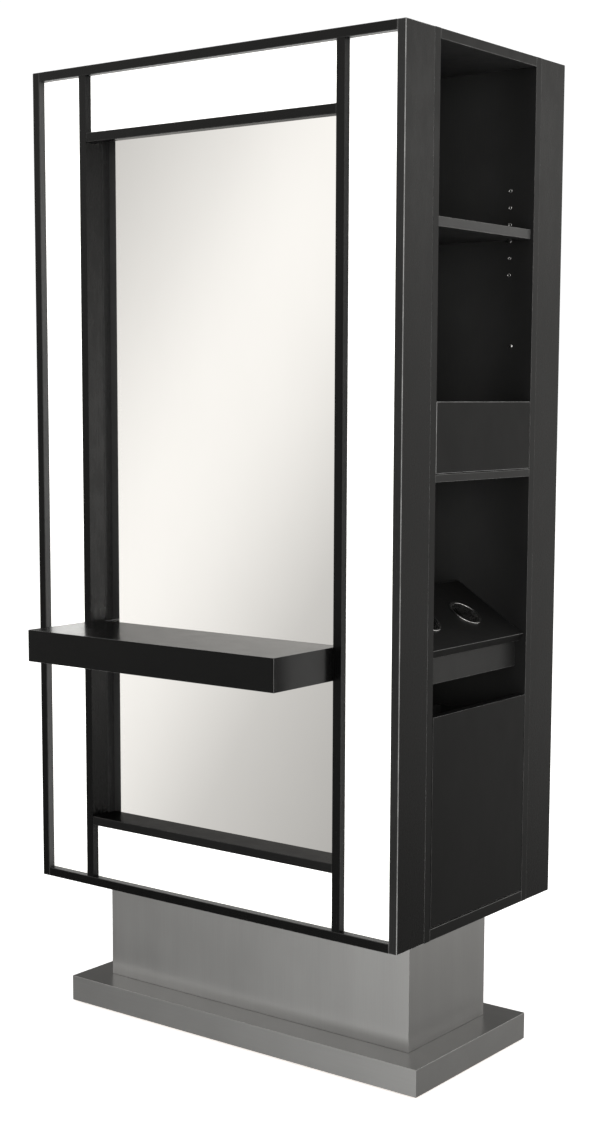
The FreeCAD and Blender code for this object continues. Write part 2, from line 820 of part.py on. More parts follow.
def build_socket_block():
    block = make_body("socket_block")
    face = add_sketch(block, "socket_face", "YZ_Plane")
    rectangle(face, "socket_block_width", "socket_block_height")
    pad(block, "socket_body", face, "socket_block_depth")
    bores = add_sketch(block, "socket_bores", "YZ_Plane")
    lift(bores, "socket_block_depth")
    for side in (-1, 1):
        circle(bores, "socket_block_width / 2 + %d * socket_pitch / 2" % side,
               "socket_block_height / 2", "socket_bore")
    pocket(block, "socket_recesses", bores, "socket_bore_depth")
    place(block, "niche_back_x", "-socket_block_width / 2", "body_bottom + socket_base")


def check_and_export():
    doc.recompute()
    for thing in doc.Objects:
        if "Invalid" in thing.State or "Error" in thing.State:
            raise RuntimeError("%s is %s" % (thing.Label, thing.State))
    os.makedirs("parts", exist_ok=True)
    for piece in nodes:
        shape = piece.Shape
        if shape.isNull() or not shape.isValid():
            raise RuntimeError(piece.Label + " has no valid shape")
        shape.exportStep("parts/%s.step" % piece.Label)
    print("%d nodes written" % len(nodes))


fill_sheet()
build_base()
build_tube("pedestal_column", "column_length", "column_depth", "board")
build_tube("pedestal_cladding", "pedestal_length", "pedestal_depth", "steel_skin")
build_cable_gland()
build_mirror_module("front", turned=False)
build_mirror_module("rear", turned=True)
build_console_bolts()
build_carcass()
build_shelves()
build_tool_tray()
build_tool_rings()
build_tray_apron()
build_drawer()
build_bin()
build_light_switch()
build_socket_block()
check_and_export()
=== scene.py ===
import math

import bmesh
import bpy
from mathutils import Matrix, Vector


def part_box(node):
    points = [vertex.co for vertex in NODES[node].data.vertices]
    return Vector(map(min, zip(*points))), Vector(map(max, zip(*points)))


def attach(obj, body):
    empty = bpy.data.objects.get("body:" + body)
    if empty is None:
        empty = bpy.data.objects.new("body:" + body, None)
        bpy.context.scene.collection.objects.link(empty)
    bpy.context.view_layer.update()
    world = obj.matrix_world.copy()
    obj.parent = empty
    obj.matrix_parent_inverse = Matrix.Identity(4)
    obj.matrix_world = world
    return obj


# A two-sided salon styling station: each black body face has a mirror between lit panels
# and a console shelf, the right end has an open niche, and all of it stands on a steel base.
# Lengths are in metres in the row frame, and shades are linear.
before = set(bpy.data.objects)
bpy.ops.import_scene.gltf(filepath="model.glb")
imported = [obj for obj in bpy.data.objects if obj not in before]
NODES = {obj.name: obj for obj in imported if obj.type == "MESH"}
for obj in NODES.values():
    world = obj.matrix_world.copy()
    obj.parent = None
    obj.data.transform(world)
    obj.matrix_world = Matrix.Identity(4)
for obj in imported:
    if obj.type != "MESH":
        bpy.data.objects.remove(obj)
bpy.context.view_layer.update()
UP = (0, 0, 1)


def grey(value, warmth=0.0):
    return (value * (1 + warmth), value, value * (1 - warmth), 1.0)


# ---------------------------------------------------------------- node trees
class Tree:
    """A node tree being built. Any input takes a plain value or another node's output."""

    def __init__(self, tree):
        self.nodes = tree.nodes
        self.links = tree.links

    def join(self, socket, value):
        if isinstance(value, bpy.types.NodeSocket):
            self.links.new(value, socket)
        else:
            socket.default_value = value

    def add(self, kind, inputs=None, **settings):
        """Adds a node with those settings, and fills its inputs by name or number."""
        node = self.nodes.new(kind)
        for name, value in settings.items():
            setattr(node, name, value)
        for name, value in (inputs or {}).items():
            self.join(node.inputs[name], value)
        return node

    def span(self, value, low=0, high=1, start=0.3, end=0.7, curve="SMOOTHSTEP"):
        """Carries start..end of a value to low..high, smoothly unless curve says otherwise."""
        return self.add("ShaderNodeMapRange", {
            "Value": value, "From Min": start, "From Max": end, "To Min": low, "To Max": high,
        }, interpolation_type=curve).outputs["Result"]

    def blend(self, factor, first, second, **settings):
        """Carries one colour to another as factor goes from 0 to 1."""
        return self.add("ShaderNodeMix", {
            "Factor": factor, "A": first, "B": second,
        }, data_type="RGBA", **settings).outputs["Result"]


class Surface(Tree):
    """A procedural material being built: its shader and the piece's own coordinates."""

    def __init__(self, name, **sockets):
        self.material = bpy.data.materials.new(name)
        self.material.use_nodes = True
        super().__init__(self.material.node_tree)
        self.shader = self.nodes["Principled BSDF"]
        for socket, value in sockets.items():
            self.feed(socket.replace("_", " "), value)
        self.place = self.add("ShaderNodeTexCoord").outputs["Object"]

    def feed(self, name, value):
        self.join(self.shader.inputs[name], value)

    def off_middle(self, axis):
        """The distance from the piece's origin along that axis, the same on both sides of it."""
        parts = self.add("ShaderNodeSeparateXYZ", {0: self.place})
        return self.maths("ABSOLUTE", parts.outputs[axis])

    def noise(self, scale, stretch=(1, 1, 1), detail=3.0, roughness=0.55):
        """Noise of that many features per metre, drawn out where stretch is small."""
        mapping = self.add("ShaderNodeMapping", {"Vector": self.place, "Scale": stretch})
        return self.add("ShaderNodeTexNoise", {
            "Vector": mapping.outputs["Vector"],
            "Scale": scale, "Detail": detail, "Roughness": roughness,
        }).outputs["Fac"]

    def cells(self, scale, output="Distance"):
        """Cells of that many a metre."""
        cells = self.add("ShaderNodeTexVoronoi", {"Vector": self.place, "Scale": scale})
        return cells.outputs[output]

    def maths(self, operation, *values):
        node = self.add("ShaderNodeMath", dict(enumerate(values)), operation=operation)
        return node.outputs["Value"]

    def between(self, pattern, first, second):
        """One colour where the pattern is low, and the other where it is high."""
        return self.blend(self.span(pattern), first, second)

    def relief(self, height, depth, strength):
        """A bump of that depth in metres."""
        bump = self.add("ShaderNodeBump", {
            "Height": height, "Distance": depth, "Strength": strength,
        })
        self.feed("Normal", bump.outputs["Normal"])


class Sky(Tree):
    """The world's node tree being built: brightness by the direction that a ray takes."""

    TINT = (1.015, 1.0, 0.965)  # daylight with a little warmth in it

    def __init__(self, name):
        world = bpy.data.worlds.new(name)
        bpy.context.scene.world = world
        world.use_nodes = True
        world.node_tree.nodes.clear()
        super().__init__(world.node_tree)
        self.direction = self.add("ShaderNodeTexCoord").outputs["Generated"]

    def along(self, axis):
        """How much a ray's direction points along axis, from -1 to 1."""
        dot = self.add(
            "ShaderNodeVectorMath", {0: self.direction, 1: axis}, operation="DOT_PRODUCT")
        return dot.outputs["Value"]

    def multiplied(self, first, second):
        return self.blend(1.0, first, second, blend_type="MULTIPLY", clamp_result=False)

    def ramp(self, value, stops):
        """Brightness by value, through (value, brightness) stops."""
        low, high = stops[0][0], stops[-1][0]
        ramp = self.add("ShaderNodeValToRGB", {
            "Fac": self.span(value, start=low, end=high, curve="LINEAR"),
        })
        ramp.color_ramp.interpolation = "B_SPLINE"
        elements = ramp.color_ramp.elements
        while len(elements) < len(stops):
            elements.new(0.5)
        # A ramp's own colours stop at 1, so it holds shares of the brightest stop.
        peak = max(brightness for _, brightness in stops) * max(self.TINT)
        for element, (at, brightness) in zip(elements, stops):
            element.position = (at - low) / (high - low)
            element.color = [brightness / peak * tint for tint in self.TINT] + [1]
        return self.multiplied(ramp.outputs["Color"], grey(peak))

    def within(self, direction, outer, inner):
        """1 near that direction and 0 away from it, between the two angles in degrees."""
        start, end = (math.cos(math.radians(angle)) for angle in (outer, inner))
        return self.span(self.along(direction), start=start, end=end)

    def shaded(self, surround, share, mask):
        """Keeps only that share of the light where the mask is 1."""
        return self.blend(mask, surround, self.multiplied(surround, grey(share)))

    def lamp_at(self, surround, strength, mask):
        """Adds a lamp of that strength where the mask is 1."""
        glow = (strength, strength, strength * 0.98, 1)
        return self.blend(mask, surround, glow, blend_type="ADD", clamp_result=False)


# ---------------------------------------------------------------- materials
# Shares of a board's own shade: in its clouds, in its grain's flecks and in an edge band's pale
# random patches, then the painted light deep inside a niche board and painted shade at its mouth.
DARK_CLOUD, PALE_CLOUD, PALE_FLECK, PALE_PATCH = 0.88, 1.1, 1.7, 2.4
DEEP_PAINTED_LIGHT, MOUTH_PAINTED_SHADE = 1.4, 0.45
STEEL_SHADE = 0.345
LED_STRIP_OFFSET = 0.377  # how far the upright LED strips are from the middle along X
LED_STRENGTH, PANEL_STRENGTH, FLOOR_STRENGTH = 1.5, 0.75, 0.65


def laminate(name, shade, along, gloss=0.27, level=0.1, outside=(), flecks=0.22, fade=None):
    """Black laminate: soft clouds, a pressed grain along the board, and marks in its sheen.

    outside lists (axis, distance, shade) for the faces that are farther than that distance
    from the middle; these set painted light or painted shade on some faces of a board.
    fade is the two distances from the middle along X between which a niche board goes
    from painted light deep inside to painted shade at the mouth. flecks is how strongly the
    grain's pale flecks show.
    """
    surface = Surface(name, Specular_IOR_Level=level)
    grain = surface.noise(scale=420, stretch=along, detail=4, roughness=0.6)
    marks = surface.noise(scale=26, stretch=(1, 1, 0.5), detail=5, roughness=0.65)
    cloud = surface.span(surface.noise(scale=5, detail=4))
    fleck = surface.span(grain, high=flecks, start=0.5, end=0.8)

    def skin(value):
        clouded = surface.blend(cloud, grey(value * DARK_CLOUD), grey(value * PALE_CLOUD))
        return surface.blend(fleck, clouded, grey(value * PALE_FLECK))

    if fade:
        # Painted light deep inside a niche board and painted shade towards its mouth.
        mouth = surface.span(surface.off_middle("X"), start=fade[0], end=fade[1])
        colour = surface.blend(mouth, skin(shade * DEEP_PAINTED_LIGHT), skin(shade * MOUTH_PAINTED_SHADE))
    else:
        colour = skin(shade)
    for axis, distance, outer_shade in outside:
        beyond = surface.maths("GREATER_THAN", surface.off_middle(axis), distance)
        colour = surface.blend(beyond, colour, skin(outer_shade))
    surface.feed("Base Color", colour)
    sheen = surface.maths(
        "MULTIPLY",
        surface.span(marks, low=0.93, high=1.1), surface.span(grain, low=0.95, high=1.06))
    surface.feed("Roughness", surface.maths("MULTIPLY", sheen, gloss))
    surface.relief(grain, depth=0.00008, strength=0.3)
    return surface.material


def leave_out_of_mirror(material):
    """Lets a perfectly sharp reflection pass, so that the mirror shows the room and not
    its own frame."""
    tree = Tree(material.node_tree)
    choice = tree.add("ShaderNodeMixShader", {
        "Fac": tree.add("ShaderNodeLightPath").outputs["Is Singular Ray"],
        1: tree.nodes["Principled BSDF"].outputs[0],
        2: tree.add("ShaderNodeBsdfTransparent").outputs[0],
    })
    tree.join(tree.nodes["Material Output"].inputs["Surface"], choice.outputs[0])


def edging(name, shade, gloss, level):
    """The rounded edge band of a board: a paler painted highlight along the arris, paler still and
    smoother in random patches.
    """
    surface = Surface(name, Specular_IOR_Level=level)
    patches = surface.noise(scale=34, stretch=(1, 1, 0.4), detail=5, roughness=0.6)
    surface.feed("Base Color", surface.between(patches, grey(shade), grey(shade * PALE_PATCH)))
    surface.feed("Roughness", surface.span(patches, low=gloss * 1.2, high=gloss * 0.8))
    return surface.material


def brushed_steel(name, along):
    """Satin stainless sheet: fine brush lines, faint bands across them and a few smudges."""
    surface = Surface(name, Metallic=1.0, Anisotropic=0.35)
    lines = surface.noise(scale=1100, stretch=along, detail=5, roughness=0.7)
    bands = surface.noise(scale=18, stretch=along, detail=3)
    smudges = surface.noise(scale=7, detail=5, roughness=0.6)
    tone = surface.maths(
        "MULTIPLY",
        surface.span(lines, low=0.98, high=1.02), surface.span(bands, low=0.985, high=1.015))
    surface.feed("Base Color", surface.blend(
        surface.span(tone, start=0.9, end=1.1),
        grey(STEEL_SHADE * 0.91, warmth=0.006), grey(STEEL_SHADE * 1.09, warmth=0.004)))
    surface.feed("Roughness", surface.maths(
        "MULTIPLY",
        surface.span(lines, low=0.285, high=0.315), surface.span(smudges, low=0.97, high=1.04)))
    surface.relief(lines, depth=0.00001, strength=0.2)
    return surface.material


def mirror_glass():
    """Silvered glass with a faint wiped haze."""
    surface = Surface("mirror_glass", Metallic=1.0)
    haze = surface.noise(scale=3.5, stretch=(1, 1, 0.6), detail=4, roughness=0.6)
    surface.feed("Base Color", surface.between(
        haze, (0.882, 0.872, 0.86, 1), (0.898, 0.888, 0.876, 1)))
    surface.feed("Roughness", surface.span(haze, low=0.0, high=0.003))
    return surface.material


def opal_acrylic():
    """Opal sheet lit from behind, a little stronger over its LED strip than near the frame."""
    surface = Surface("opal_acrylic", Roughness=0.3, Specular_IOR_Level=0.4)
    cloud = surface.noise(scale=9, detail=3)
    surface.feed("Base Color", surface.between(cloud, (0.9, 0.9, 0.885, 1), (0.93, 0.93, 0.92, 1)))
    off_strip = surface.maths(
        "ABSOLUTE", surface.maths("SUBTRACT", surface.off_middle("X"), LED_STRIP_OFFSET))
    spread = surface.span(off_strip, low=1.0, high=0.9, start=0.0, end=0.07)
    glow = surface.maths("MULTIPLY", spread, surface.span(cloud, low=0.97, high=1.03))
    surface.feed("Emission Color", (1.0, 0.995, 0.975, 1))
    surface.feed("Emission Strength", surface.maths("MULTIPLY", glow, PANEL_STRENGTH))
    return surface.material


def led_tape():
    """White flexible tape with a row of pale yellow lamps."""
    surface = Surface("led_tape", Roughness=0.5)
    lit = surface.span(surface.cells(60), low=1, high=0, start=0.25, end=0.35)
    surface.feed("Base Color", surface.blend(lit, (0.8, 0.8, 0.78, 1), (0.85, 0.72, 0.3, 1)))
    surface.feed("Emission Color", (1.0, 0.93, 0.8, 1))
    surface.feed("Emission Strength", surface.maths("MULTIPLY", lit, LED_STRENGTH))
    return surface.material


def metal(name, shade, rough, mottle, scratch=0.00002):
    """Plated metal: a slow mottle, and fine scratches of that depth in its polish."""
    surface = Surface(name, Metallic=1.0)
    cloud = surface.noise(scale=mottle, detail=4)
    scratches = surface.noise(scale=700, stretch=(1, 1, 0.1), detail=3)
    surface.feed("Base Color", surface.between(
        cloud, grey(shade * 0.9, warmth=0.005), grey(shade * 1.06)))
    surface.feed("Roughness", surface.maths(
        "MULTIPLY",
        surface.span(scratches, low=0.85, high=1.2),
        surface.span(cloud, low=rough * 0.85, high=rough * 1.2)))
    surface.relief(scratches, depth=scratch, strength=0.25)
    return surface.material


def plastic(name, shade, rough, pebble, warmth=0.0, level=0.4):
    """Moulded plastic with a fine spark-eroded texture of that many pebbles a metre."""
    surface = Surface(name, Specular_IOR_Level=level)
    skin = surface.noise(scale=pebble, detail=3, roughness=0.6)
    tone = surface.noise(scale=12, detail=3)
    surface.feed("Base Color", surface.between(
        tone, grey(shade * 0.92, warmth), grey(shade * 1.08, warmth)))
    surface.feed("Roughness", surface.span(skin, low=rough * 0.88, high=rough * 1.12))
    surface.relief(skin, depth=0.00008, strength=0.4)
    return surface.material


def particle_board():
    """Raw chipboard: pressed chips of several browns."""
    surface = Surface("particle_board", Specular_IOR_Level=0.25)
    tone = surface.add("ShaderNodeSeparateColor", {0: surface.cells(260, output="Color")})
    dust = surface.noise(scale=900, detail=4)
    chips = surface.blend(tone.outputs["Red"], (0.17, 0.115, 0.07, 1), (0.33, 0.25, 0.165, 1))
    surface.feed("Base Color", surface.blend(
        surface.span(dust, high=0.4), chips, (0.4, 0.33, 0.24, 1)))
    surface.feed("Roughness", surface.span(dust, low=0.75, high=0.92))
    surface.relief(dust, depth=0.0003, strength=0.5)
    return surface.material


def pale_floor():
    """A plain pale floor that glows a little, so that it stays even at any distance."""
    surface = Surface("pale_floor", Specular_IOR_Level=0.1)
    cloud = surface.noise(scale=1.5, detail=4)
    surface.feed("Base Color", surface.between(cloud, grey(0.86), grey(0.88)))
    surface.feed("Roughness", surface.span(cloud, low=0.75, high=0.85))
    surface.feed("Emission Color", grey(1.0))
    surface.feed("Emission Strength", FLOOR_STRENGTH)
    return surface.material


# How far a grain is drawn out along a board or a brushed sheet.
ALONG_X, ALONG_Y, ALONG_Z = (0.06, 1, 1), (1, 0.06, 1), (1, 1, 0.06)
EVERY_WAY = (1, 1, 1)
BRUSHED_X, BRUSHED_Z = (0.012, 1, 1), (1, 1, 0.012)

# The niche's inner faces are paler than the body's board: painted light in the niche.
BODY_SHADE, PAINTED_LIGHT_LINING_SHADE = 0.0018, 0.026

# Distances that tell a board's faces apart, each within a millimetre of the face it names.
# All are from the middle, but the top's is from the floor.
END_FACE = 0.4494  # the body's two ends
TOP_FACE = 1.9395  # the body's top
SIDE_FACE = 0.2755  # the outer faces of the two mirror sides
STILE_INNER_FACE = 0.4325  # the stiles' faces towards the light panels; the left stile's has painted light
SHELF_MOUTH_FACE = 0.4434  # the loose shelf's edge in the niche's mouth
# The mullions have painted light nearer the middle than this, beside the mirror's trims.
REVEAL_LINE = 0.231
# Between these distances along X a niche board goes from painted light to painted shade.
NICHE_PAINTED_FADE = (0.28, 0.44)

body = laminate("body_laminate", BODY_SHADE, ALONG_X)
# The left stile's face towards its light panel is paler: painted light from the panel.
stile_painted_light = laminate(
    "stile_painted_light_laminate", 0.045, ALONG_Z, outside=[("X", STILE_INNER_FACE, BODY_SHADE)])
# The corner stile's front face is paler than the rest of it: painted light.
corner_stile_painted_light = laminate(
    "corner_painted_light_laminate", BODY_SHADE, ALONG_Z, outside=[("Y", SIDE_FACE, 0.013)])
# The mullions' sides beside the mirror's trims are paler: painted light.
mullion = laminate(
    "mullion_painted_light_laminate", 0.02, ALONG_Z, outside=[("Y", REVEAL_LINE, BODY_SHADE)])
# The ledge's front face is paler than the rest of it: painted light.
ledge = laminate(
    "ledge_painted_light_laminate", BODY_SHADE, ALONG_X, gloss=0.3, level=0.025,
    outside=[("Y", SIDE_FACE, 0.009)])
# The carcass and the shelves take the niche's painted light inside and the body's shade outside.
carcass_flat = laminate(
    "carcass_laminate_x", PAINTED_LIGHT_LINING_SHADE, ALONG_X, gloss=0.32,
    outside=[("X", END_FACE, BODY_SHADE), ("Z", TOP_FACE, BODY_SHADE)])
carcass_upright = laminate(
    "carcass_laminate_z", PAINTED_LIGHT_LINING_SHADE, ALONG_Z, gloss=0.32,
    outside=[("X", END_FACE, BODY_SHADE)], fade=NICHE_PAINTED_FADE)
painted_light_lining = laminate("painted_light_lining_laminate", PAINTED_LIGHT_LINING_SHADE, EVERY_WAY, gloss=0.45, flecks=0.5)
fronts = laminate("front_laminate", 0.004, ALONG_Z, gloss=0.36, level=0.06)
shelf_fixed = laminate(
    "shelf_laminate", PAINTED_LIGHT_LINING_SHADE, ALONG_Y, gloss=0.32, outside=[("X", END_FACE, 0.009)])
# The loose shelf's edge in the niche's mouth is paler: a painted highlight.
shelf_loose = laminate(
    "loose_shelf_laminate", PAINTED_LIGHT_LINING_SHADE, ALONG_Y, gloss=0.36,
    outside=[("X", SHELF_MOUTH_FACE, 0.036)])
# The tray and the apron are paler than the body's board: painted light in the niche.
tray_board = laminate("tray_painted_light_laminate", 0.007, ALONG_Y, gloss=0.4)
apron_board = laminate("apron_painted_light_laminate", 0.012, ALONG_Y, gloss=0.4, level=0.12)
console = laminate("console_laminate", 0.0025, ALONG_X, gloss=0.2, level=0.13)
liner = laminate("liner_board", 0.022, ALONG_X, gloss=0.6, level=0.2)
# The edge bands are paler than their boards: painted highlights along the arrises.
frame_edge = edging("frame_edge_band", shade=0.01, gloss=0.3, level=0.2)
edge = edging("edge_band", shade=0.04, gloss=0.28, level=0.5)
highlight_edge = edging("highlight_edge_band", shade=0.085, gloss=0.25, level=0.5)
steel_upright = brushed_steel("steel_upright", BRUSHED_Z)
steel_long = brushed_steel("steel_long", BRUSHED_X)
silver = mirror_glass()
opal = opal_acrylic()
tape = led_tape()
chrome = metal("chrome", shade=0.7, rough=0.18, mottle=30, scratch=0.000001)
zinc = metal("zinc_plate", shade=0.5, rough=0.34, mottle=160)
sleeve_metal = metal("nickel_sleeve", shade=0.85, rough=0.22, mottle=300)
trim = plastic("black_trim", shade=0.028, rough=0.4, pebble=1500)
black_plastic = plastic("black_plastic", shade=0.014, rough=0.48, pebble=1400)
white_plastic = plastic("white_plastic", shade=0.6, rough=0.38, pebble=1600, warmth=0.012)
felt = plastic("glide_felt", shade=0.03, rough=0.9, pebble=2600, level=0.1)
chipboard = particle_board()
for near in (
        body, stile_painted_light, corner_stile_painted_light, mullion, ledge, console,
        frame_edge, edge, highlight_edge, opal, trim, zinc, tape):
    leave_out_of_mirror(near)


# ---------------------------------------------------------------- finishing the CAD nodes
# CAD nodes, their material, the radius of their edges, and those edges' own material.
FINISHES = [
    (("carcass_front_wall", "carcass_rear_wall", "service_panel"),
     carcass_upright, 0.0009, highlight_edge),
    (("carcass_top", "carcass_bottom"), carcass_flat, 0.0008, edge),
    (("niche_back",), painted_light_lining, 0.0, None),
    (("drawer_front", "bin_front"), fronts, 0.0009, highlight_edge),
    (("adjustable_shelf",), shelf_loose, 0.0009, edge),
    (("fixed_shelf",), shelf_fixed, 0.0007, edge),
    (("tray_apron",), apron_board, 0.0009, edge),
    (("tool_tray",), tray_board, 0.0007, edge),
    (("drawer_box", "bin_box"), liner, 0.0005, None),
    (("base_core", "pedestal_column"), chipboard, 0.0, None),
    (("base_cover",), steel_long, 0.0012, None),
    (("pedestal_cladding",), steel_upright, 0.001, None),
    (("tool_rings",), chrome, 0.0006, None),
    (("shelf_pins", "bin_pivots", "console_bolts", "drawer_runners"), zinc, 0.0, None),
    (("switch_housing", "switch_rocker", "cable_gland"), black_plastic, 0.0, None),
    (("socket_block", "led_driver"), white_plastic, 0.0, None),
    (("base_glides",), felt, 0.0, None),
]
# The same for the nodes that both mirror sides have, without front_ or rear_ before their names.
SIDE_FINISHES = [
    (("top_rail", "bottom_rail", "inner_rail_top"), body, 0.0012, frame_edge),
    (("stile_left",), stile_painted_light, 0.0012, frame_edge),
    (("stile_right",), corner_stile_painted_light, 0.0012, highlight_edge),
    (("mullions",), mullion, 0.0012, frame_edge),
    (("inner_rail_bottom",), ledge, 0.0012, frame_edge),
    (("console_shell",), console, 0.0014, highlight_edge),
    (("console_bottom",), console, 0.0006, None),
    (("mirror",), silver, 0.0, None),
    (("mirror_trims",), trim, 0.0004, None),
    (("back_panel",), chipboard, 0.0, None),
    (("side_lights", "cross_lights"), opal, 0.0, None),
    (("led_strips",), tape, 0.0, None),
]


WELD_DISTANCE = 0.00001
FLAT_ANGLE, EDGE_ANGLE = math.radians(0.5), math.radians(40)


def finish(name, material, radius, edge_material):
    """Gives a CAD node its material, and rounds its edges unless radius is 0."""
    piece = NODES[name]
    piece.data.materials.clear()
    piece.data.materials.append(material)
    if not radius:
        return
    piece.modifiers.new("weld", "WELD").merge_threshold = WELD_DISTANCE
    flat = piece.modifiers.new("flat", "DECIMATE")
    flat.decimate_type = "DISSOLVE"
    flat.angle_limit = FLAT_ANGLE
    bevel = piece.modifiers.new("rounded", "BEVEL")
    bevel.width = radius
    bevel.segments = 3
    bevel.limit_method = "ANGLE"
    bevel.angle_limit = EDGE_ANGLE
    if edge_material:
        piece.data.materials.append(edge_material)
        bevel.material = 1
    shading = piece.modifiers.new("shading", "WEIGHTED_NORMAL")
    shading.weight = 100
    shading.keep_sharp = False


for side in ("front_", "rear_"):
    for names, *look in SIDE_FINISHES:
        for name in names:
            finish(side + name, *look)
for names, *look in FINISHES:
    for name in names:
        finish(name, *look)


# ---------------------------------------------------------------- small fittings
def new_piece(name, mesh, material, body_name):
    """Makes an object of a bmesh in the row frame, riding on that body."""
    bmesh.ops.recalc_face_normals(mesh, faces=mesh.faces)
    data = bpy.data.meshes.new(name)
    mesh.to_mesh(data)
    mesh.free()
    for face in data.polygons:
        face.use_smooth = True
    piece = bpy.data.objects.new(name, data)
    bpy.context.scene.collection.objects.link(piece)
    data.materials.append(material)
    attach(piece, body_name)


def facing(x, y, z, direction):
    """A transform that carries +Z to direction, at that place."""
    turn = Vector(UP).rotation_difference(Vector(direction)).to_matrix().to_4x4()
    return Matrix.Translation((x, y, z)) @ turn


def turned(mesh, profile, place, steps=24):
    """Adds a turned shape: profile is (radius, height) pairs, and place carries it to its axis."""
    rings = []
    for radius, height in profile:
        ring = []
        for step in range(steps):
            angle = math.tau * step / steps
            point = Vector((radius * math.cos(angle), radius * math.sin(angle), height))
            ring.append(mesh.verts.new(place @ point))
        rings.append(ring)
    for lower, upper in zip(rings, rings[1:]):
        for step in range(steps):
            after = (step + 1) % steps
            mesh.faces.new((lower[step], lower[after], upper[after], upper[step]))


def strip(mesh, outline, half_width, thickness, origin, up):
    """Adds a bent strip: outline is its (x, rise) course from origin, and up is 1 or -1."""
    section = (
        (-half_width, 0.0), (half_width, 0.0), (half_width, thickness), (-half_width, thickness))
    rows = []
    for along_x, rise in outline:
        rows.append([
            mesh.verts.new(origin + Vector((along_x, across, (rise + thick) * up)))
            for across, thick in section
        ])
    for row, after in zip(rows, rows[1:]):
        for corner in range(4):
            beside = (corner + 1) % 4
            mesh.faces.new((row[corner], row[beside], after[beside], after[corner]))
    mesh.faces.new(rows[0])
    mesh.faces.new(rows[-1])


# (radius, height) profiles, with height 0 at the surface that the piece sits on.
LIP = [
    (0.0023, -0.004), (0.0023, 0.0001), (0.0027, 0.0004),
    (0.0034, 0.0004), (0.0036, 0.0), (0.0036, -0.0002)]
DOME = [
    (0.0042, -0.0003), (0.0042, 0.0004), (0.0036, 0.0010), (0.0022, 0.0013), (0.00001, 0.0014)]
PIN_RIM = [
    (0.0034, -0.0004), (0.0034, 0.0006), (0.0031, 0.0009),
    (0.0027, 0.0009), (0.0025, 0.0006), (0.0025, 0.0)]
PIN_WELL = [(0.0026, 0.0001), (0.0018, 0.0003), (0.00001, 0.0003)]

# The holes for the loose shelf's pins, in two rows up each wall of the niche.
NICHE_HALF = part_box("fixed_shelf")[1].y
HOLE_ROWS = (0.397, 0.150)
LOWEST_HOLE, HOLE_PITCH, HOLES = 1.5345, 0.032, 6
sleeves = bmesh.new()
for wall in (-1, 1):
    for x in HOLE_ROWS:
        for hole in range(HOLES):
            height = LOWEST_HOLE + HOLE_PITCH * hole
            turned(sleeves, LIP, facing(x, wall * NICHE_HALF, height, (0, -wall, 0)))
new_piece("pin_hole_sleeves", sleeves, sleeve_metal, "station")

# One capped fixing in each wall of the niche, below the loose shelf.
FIXING_X, FIXING_HEIGHT = 0.403, 1.398
fixings = bmesh.new()
for wall in (-1, 1):
    turned(fixings, DOME, facing(FIXING_X, wall * NICHE_HALF, FIXING_HEIGHT, (0, -wall, 0)))
new_piece("wall_fixing_caps", fixings, sleeve_metal, "station")

# Each socket recess has two pin sleeves side by side, and a sprung earth clip above and below.
SOCKET_DEPTH = 0.0175
SOCKET_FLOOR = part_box("socket_block")[1].x - SOCKET_DEPTH
SOCKET_HEIGHT, SOCKET_OFFSET, PIN_OFFSET, CLIP_OFFSET = 1.035, 0.036, 0.0095, 0.0165
CLIP = [(0.0, 0.0), (0.003, -0.0014), (0.008, -0.0022), (0.012, -0.001), (0.0135, 0.0012)]
CLIP_HALF_WIDTH, CLIP_THICKNESS = 0.0025, 0.0007
contacts = bmesh.new()
wells = bmesh.new()
for socket_y in (-SOCKET_OFFSET, SOCKET_OFFSET):
    for pin in (-PIN_OFFSET, PIN_OFFSET):
        place = facing(SOCKET_FLOOR, socket_y + pin, SOCKET_HEIGHT, (1, 0, 0))
        turned(contacts, PIN_RIM, place)
        turned(wells, PIN_WELL, place)
    for up in (-1, 1):
        root = Vector((SOCKET_FLOOR, socket_y, SOCKET_HEIGHT + up * CLIP_OFFSET))
        strip(contacts, CLIP, CLIP_HALF_WIDTH, CLIP_THICKNESS, root, up)
new_piece("socket_contacts", contacts, sleeve_metal, "station")
new_piece("socket_pin_wells", wells, black_plastic, "station")


# ---------------------------------------------------------------- floor
FLOOR_RADIUS, FLOOR_GAP = 40, 0.0005
floor_mesh = bmesh.new()
bmesh.ops.create_circle(floor_mesh, cap_ends=True, segments=96, radius=FLOOR_RADIUS)
floor_data = bpy.data.meshes.new("floor")
floor_mesh.to_mesh(floor_data)
floor_mesh.free()
floor_data.materials.append(pale_floor())
floor = bpy.data.objects.new("floor", floor_data)
floor.location.z = -FLOOR_GAP
floor.visible_glossy = False
bpy.context.scene.collection.objects.link(floor)


# ---------------------------------------------------------------- light
# The room that the mirror shows: brightness along one direction that crosses it.
ROOM_AXIS = (-0.678, 0.564, 0.472)
ROOM_STOPS = [
    (-0.4, 0.34), (-0.2, 0.425), (-0.1, 0.65), (-0.045, 0.98),
    (0.01, 1.11), (0.06, 0.90), (0.12, 0.62), (0.3, 0.52)]
# The studio that all else reflects: brightness by height, times more or less on one side.
STUDIO_STOPS = [
    (-1.0, 0.15), (-0.42, 0.3), (-0.3, 0.2), (-0.22, 0.78), (-0.12, 1.1), (0.0, 1.35),
    (0.08, 1.85), (0.17, 4.8), (0.27, 1.5), (0.4, 1.0), (0.6, 0.9), (1.0, 0.9)]
STUDIO_AXIS, STUDIO_REACH = (0.6, 0.8, 0), 0.9
STUDIO_DIM, STUDIO_BRIGHT = 0.57, 1.12
# Dark screens in the studio: direction, the share of light they leave, outer and inner angle.
SCREENS = [
    ((-0.57, 0.76, 0.33), 0.12, 55, 28),
    ((0.26, 0.94, 0.22), 0.3, 20, 8),
    ((0.5, 0.74, 0.45), 0.25, 18, 8),
]
